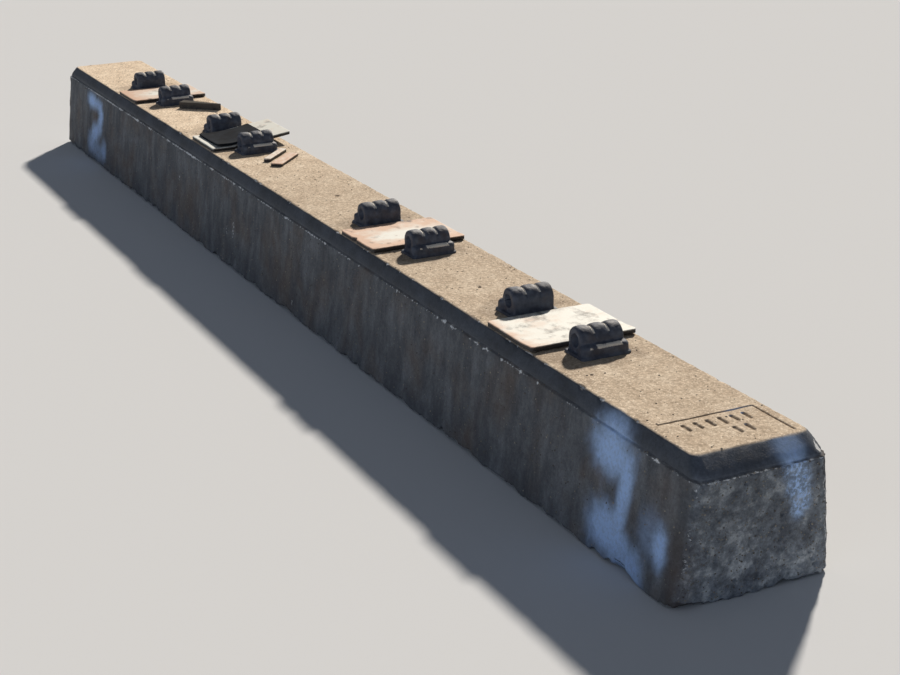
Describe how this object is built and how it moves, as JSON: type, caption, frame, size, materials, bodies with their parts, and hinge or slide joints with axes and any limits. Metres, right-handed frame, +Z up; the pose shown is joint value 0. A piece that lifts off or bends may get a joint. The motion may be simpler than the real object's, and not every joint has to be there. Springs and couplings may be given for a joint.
{
  "type": "concrete railway sleeper",
  "caption": "Long concrete railway sleeper with bevelled top edges, cast-in iron shoulders for rail clips and plastic rail pads between them.",
  "frame": {"origin": "middle of the underside", "axes": "+X along the sleeper, +Y across it in the direction the rails run, +Z up"},
  "size_m": [3.2, 0.265, 0.2595],
  "materials": {
    "concrete": "weathered",
    "cast_iron": "rough, lightly rusted",
    "pad_white": "matt, dirty",
    "pad_stained": "matt, rust-stained",
    "dark_rubber": "matt"
  },
  "bodies": {
    "root": {"sleeper_body": "concrete", "shoulder_1_left": "cast_iron", "shoulder_1_right": "cast_iron", "shoulder_2_left": "cast_iron", "shoulder_2_right": "cast_iron", "shoulder_3_left": "cast_iron", "shoulder_3_right": "cast_iron", "shoulder_4_left": "cast_iron", "shoulder_4_right": "cast_iron", "rail_pad_1": "pad_stained", "rail_pad_2": "pad_white", "rail_pad_3": "pad_stained", "rail_pad_4": "pad_white", "loose_sheet": "dark_rubber", "loose_bar": "dark_rubber", "loose_strip_1": "pad_white", "loose_strip_2": "pad_stained"}
  },
  "joints": []
}
